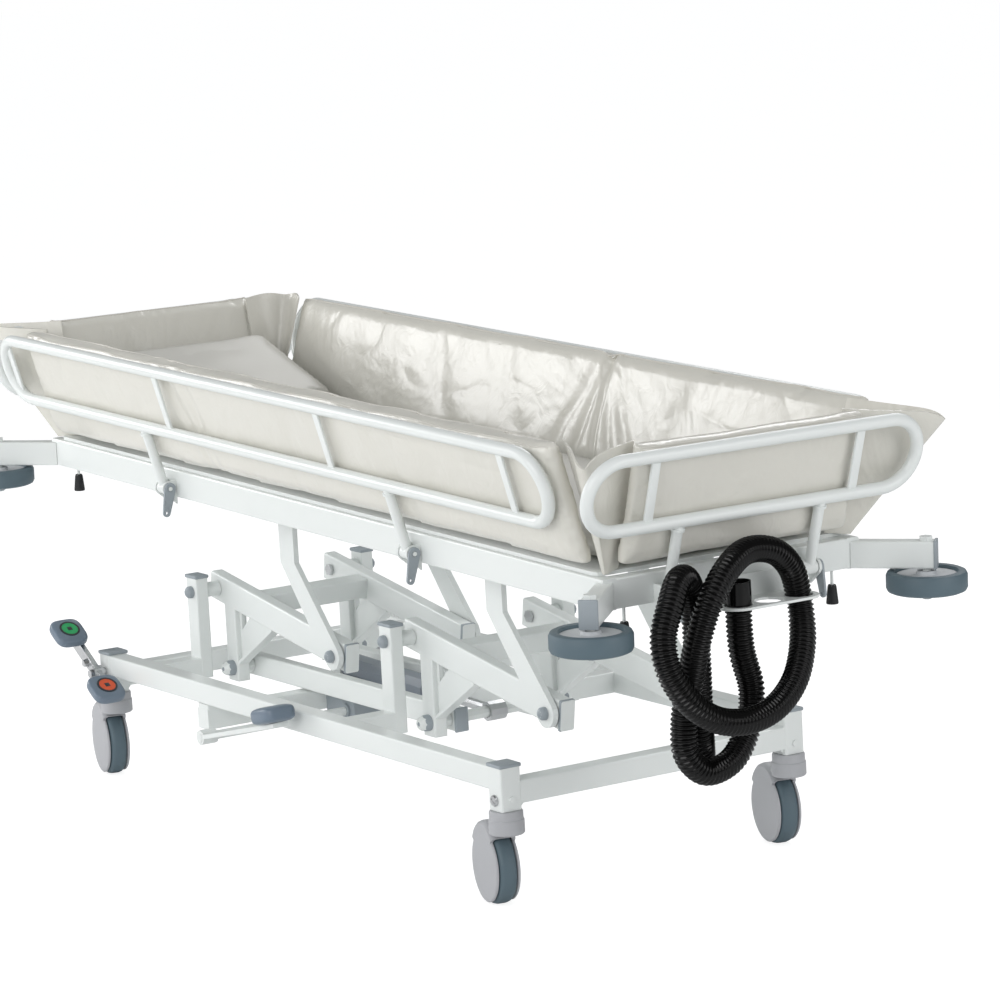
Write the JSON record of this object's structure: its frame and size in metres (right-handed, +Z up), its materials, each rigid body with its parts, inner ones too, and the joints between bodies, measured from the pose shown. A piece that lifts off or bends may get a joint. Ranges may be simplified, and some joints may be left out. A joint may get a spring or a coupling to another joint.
{
  "type": "shower trolley",
  "caption": "Height-adjustable shower trolley: padded drip tray with fold-down guard rails on a parallel-arm lift, castor base and ribbed drain hose.",
  "frame": {"origin": "on the floor under the middle of the base", "axes": "+X towards the foot and drain end, -Y the side with the brake pedal, +Z up"},
  "size_m": [2.1335, 0.7754, 0.8293],
  "materials": {
    "white_paint": "satin",
    "grey_plastic": "matte",
    "pale_plastic": "matte",
    "blue_grey_plastic": "satin",
    "wheel_tread": "matte",
    "bright_steel": "brushed",
    "liner_sheet": "glossy coated",
    "black_hose": "glossy",
    "green_disc": "matte",
    "red_disc": "matte"
  },
  "bodies": {
    "base": {"base_frame": "white_paint", "base_cross_tube": "white_paint", "hydraulic_pump": "grey_plastic", "pivot_pin_head_near": "bright_steel", "pivot_pin_head_far": "bright_steel", "pivot_pin_foot_near": "bright_steel", "pivot_pin_foot_far": "bright_steel"},
    "head_crank": {"crank_head": "white_paint"},
    "foot_crank": {"crank_foot": "white_paint"},
    "tie_bars": {"tie_bar_near": "white_paint", "tie_bar_far": "white_paint"},
    "barrel": {"ram_barrel": "blue_grey_plastic"},
    "ram": {"ram_rod": "bright_steel"},
    "pump_lever": {"pump_pedal": "white_paint", "pump_pad": "blue_grey_plastic"},
    "rocker": {"brake_rocker": "bright_steel", "brake_pad_green": "green_disc", "brake_pad_red": "red_disc"},
    "deck": {"top_frame": "white_paint", "hanging_bracket_head": "white_paint", "hanging_bracket_foot": "white_paint", "pan": "white_paint", "mattress": "liner_sheet", "pillow": "liner_sheet", "drain_spout": "white_paint", "drain_hose": "black_hose", "hose_holder": "white_paint", "liner_ear_head_near": "liner_sheet", "liner_ear_head_far": "liner_sheet", "liner_ear_foot_near": "liner_sheet", "liner_ear_foot_far": "liner_sheet"},
    "castor_head_near": {"castor_hood_head_near": "pale_plastic"},
    "wheel_head_near": {"castor_wheel_head_near": "wheel_tread"},
    "bumper_head_near": {"bumper_wheel_head_near": "wheel_tread"},
    "castor_head_far": {"castor_hood_head_far": "pale_plastic"},
    "wheel_head_far": {"castor_wheel_head_far": "wheel_tread"},
    "bumper_head_far": {"bumper_wheel_head_far": "wheel_tread"},
    "castor_foot_near": {"castor_hood_foot_near": "pale_plastic"},
    "wheel_foot_near": {"castor_wheel_foot_near": "wheel_tread"},
    "bumper_foot_near": {"bumper_wheel_foot_near": "wheel_tread"},
    "castor_foot_far": {"castor_hood_foot_far": "pale_plastic"},
    "wheel_foot_far": {"castor_wheel_foot_far": "wheel_tread"},
    "bumper_foot_far": {"bumper_wheel_foot_far": "wheel_tread"},
    "rail_near": {"guard_rail_near": "white_paint", "panel_near": "liner_sheet"},
    "catch_near_a": {"latch_near_a": "grey_plastic"},
    "catch_near_b": {"latch_near_b": "grey_plastic"},
    "rail_far": {"guard_rail_far": "white_paint", "panel_far": "liner_sheet"},
    "catch_far_a": {"latch_far_a": "grey_plastic"},
    "catch_far_b": {"latch_far_b": "grey_plastic"},
    "rail_foot": {"guard_rail_foot": "white_paint", "panel_foot": "liner_sheet"},
    "catch_foot_a": {"latch_foot_a": "grey_plastic"},
    "catch_foot_b": {"latch_foot_b": "grey_plastic"},
    "rail_head": {"guard_rail_head": "white_paint", "panel_head": "liner_sheet"},
    "catch_head_a": {"latch_head_a": "grey_plastic"},
    "catch_head_b": {"latch_head_b": "grey_plastic"}
  },
  "joints": [
    {"name": "lift", "type": "hinge", "parent": "base", "child": "head_crank", "pos_m": [-0.51, 0, 0.356], "axis": [0, -1, 0], "range_deg": [0, 50]},
    {"name": "lift_foot", "type": "hinge", "parent": "base", "child": "foot_crank", "pos_m": [0.161, 0, 0.356], "axis": [0, -1, 0], "range_deg": [0, 50]},
    {"name": "deck_level", "type": "hinge", "parent": "head_crank", "child": "deck", "pos_m": [-0.09035, 0, 0.28878], "axis": [0, -1, 0], "range_deg": [-50, 0]},
    {"name": "tie_level", "type": "hinge", "parent": "head_crank", "child": "tie_bars", "pos_m": [-0.472, 0, 0.213], "axis": [0, -1, 0], "range_deg": [-50, 0]},
    {"name": "barrel_tilt", "type": "hinge", "parent": "base", "child": "barrel", "pos_m": [-0.294, 0, 0.224], "axis": [0, -1, 0], "range_deg": [0, 7.75]},
    {"name": "ram_level", "type": "hinge", "parent": "foot_crank", "child": "ram", "pos_m": [0.199, 0, 0.213], "axis": [0, -1, 0], "range_deg": [-42.25, 0]},
    {"name": "pump_press", "type": "hinge", "parent": "base", "child": "pump_lever", "pos_m": [-0.205, -0.2, 0.16], "axis": [0, 1, 0], "range_deg": [0, 20], "stiffness_Nm_per_rad": 12, "springref_deg": -28.65},
    {"name": "brake_rock", "type": "hinge", "parent": "base", "child": "rocker", "pos_m": [-0.657, -0.316, 0.205], "axis": [0, -1, 0], "range_deg": [0, 55]},
    {"name": "swivel_head_near", "type": "hinge", "parent": "base", "child": "castor_head_near", "pos_m": [-0.657, -0.28, 0.15], "axis": [0, 0, 1], "continuous": true},
    {"name": "roll_head_near", "type": "hinge", "parent": "castor_head_near", "child": "wheel_head_near", "pos_m": [-0.71546, -0.2665, 0.0625], "axis": [-0.225, -0.9744, 0], "continuous": true},
    {"name": "bumper_turn_head_near", "type": "hinge", "parent": "deck", "child": "bumper_head_near", "pos_m": [-0.98836, -0.32266, 0.53952], "axis": [0.0248, 0, 0.9997], "continuous": true},
    {"name": "swivel_head_far", "type": "hinge", "parent": "base", "child": "castor_head_far", "pos_m": [-0.657, 0.28, 0.15], "axis": [0, 0, 1], "continuous": true},
    {"name": "roll_head_far", "type": "hinge", "parent": "castor_head_far", "child": "wheel_head_far", "pos_m": [-0.71546, 0.2935, 0.0625], "axis": [-0.225, -0.9744, 0], "continuous": true},
    {"name": "bumper_turn_head_far", "type": "hinge", "parent": "deck", "child": "bumper_head_far", "pos_m": [-0.98836, 0.32266, 0.53952], "axis": [0.0248, 0, 0.9997], "continuous": true},
    {"name": "swivel_foot_near", "type": "hinge", "parent": "base", "child": "castor_foot_near", "pos_m": [0.657, -0.28, 0.15], "axis": [0, 0, 1], "continuous": true},
    {"name": "roll_foot_near", "type": "hinge", "parent": "castor_foot_near", "child": "wheel_foot_near", "pos_m": [0.59854, -0.2665, 0.0625], "axis": [-0.225, -0.9744, 0], "continuous": true},
    {"name": "bumper_turn_foot_near", "type": "hinge", "parent": "deck", "child": "bumper_foot_near", "pos_m": [0.98836, -0.32266, 0.49052], "axis": [0.0248, 0, 0.9997], "continuous": true},
    {"name": "swivel_foot_far", "type": "hinge", "parent": "base", "child": "castor_foot_far", "pos_m": [0.657, 0.28, 0.15], "axis": [0, 0, 1], "continuous": true},
    {"name": "roll_foot_far", "type": "hinge", "parent": "castor_foot_far", "child": "wheel_foot_far", "pos_m": [0.59854, 0.2935, 0.0625], "axis": [-0.225, -0.9744, 0], "continuous": true},
    {"name": "bumper_turn_foot_far", "type": "hinge", "parent": "deck", "child": "bumper_foot_far", "pos_m": [0.98836, 0.32266, 0.49052], "axis": [0.0248, 0, 0.9997], "continuous": true},
    {"name": "rail_fold_near", "type": "hinge", "parent": "deck", "child": "rail_near", "pos_m": [-0.03702, -0.262, 0.55495], "axis": [0.9997, 0, -0.0248], "range_deg": [0, 150]},
    {"name": "catch_lift_near_a", "type": "hinge", "parent": "deck", "child": "catch_near_a", "pos_m": [-0.4286, -0.262, 0.56466], "axis": [-0.9997, 0, 0.0248], "range_deg": [0, 10], "stiffness_Nm_per_rad": 0.1, "springref_deg": -22.92},
    {"name": "catch_lift_near_b", "type": "hinge", "parent": "deck", "child": "catch_near_b", "pos_m": [0.39315, -0.262, 0.54429], "axis": [-0.9997, 0, 0.0248], "range_deg": [0, 10], "stiffness_Nm_per_rad": 0.1, "springref_deg": -22.92},
    {"name": "rail_fold_far", "type": "hinge", "parent": "deck", "child": "rail_far", "pos_m": [-0.03702, 0.262, 0.55495], "axis": [-0.9997, 0, 0.0248], "range_deg": [0, 150]},
    {"name": "catch_lift_far_a", "type": "hinge", "parent": "deck", "child": "catch_far_a", "pos_m": [0.35456, 0.262, 0.54524], "axis": [0.9997, 0, -0.0248], "range_deg": [0, 10], "stiffness_Nm_per_rad": 0.1, "springref_deg": -22.92},
    {"name": "catch_lift_far_b", "type": "hinge", "parent": "deck", "child": "catch_far_b", "pos_m": [-0.46719, 0.262, 0.56561], "axis": [0.9997, 0, -0.0248], "range_deg": [0, 10], "stiffness_Nm_per_rad": 0.1, "springref_deg": -22.92},
    {"name": "rail_fold_foot", "type": "hinge", "parent": "deck", "child": "rail_foot", "pos_m": [0.92868, 0, 0.53101], "axis": [0, 1, 0], "range_deg": [0, 15]},
    {"name": "catch_lift_foot_a", "type": "hinge", "parent": "deck", "child": "catch_foot_a", "pos_m": [0.92868, -0.1167, 0.53101], "axis": [0, -1, 0], "range_deg": [0, 10], "stiffness_Nm_per_rad": 0.1, "springref_deg": -22.92},
    {"name": "catch_lift_foot_b", "type": "hinge", "parent": "deck", "child": "catch_foot_b", "pos_m": [0.92868, 0.1553, 0.53101], "axis": [0, -1, 0], "range_deg": [0, 20], "stiffness_Nm_per_rad": 0.1, "springref_deg": -22.92},
    {"name": "rail_fold_head", "type": "hinge", "parent": "deck", "child": "rail_head", "pos_m": [-0.92675, 0, 0.57701], "axis": [0, -1, 0], "range_deg": [0, 70]},
    {"name": "catch_lift_head_a", "type": "hinge", "parent": "deck", "child": "catch_head_a", "pos_m": [-0.92675, 0.1167, 0.57701], "axis": [0, 1, 0], "range_deg": [0, 10], "stiffness_Nm_per_rad": 0.1, "springref_deg": -22.92},
    {"name": "catch_lift_head_b", "type": "hinge", "parent": "deck", "child": "catch_head_b", "pos_m": [-0.92675, -0.1553, 0.57701], "axis": [0, 1, 0], "range_deg": [0, 20], "stiffness_Nm_per_rad": 0.1, "springref_deg": -22.92}
  ],
  "couplings": [
    {"joint": "lift_foot", "follows": "lift", "ratio": 1},
    {"joint": "deck_level", "follows": "lift", "ratio": -1},
    {"joint": "tie_level", "follows": "lift", "ratio": -1},
    {"joint": "barrel_tilt", "follows": "lift", "ratio": 0.155},
    {"joint": "ram_level", "follows": "lift", "ratio": -0.845}
  ]
}
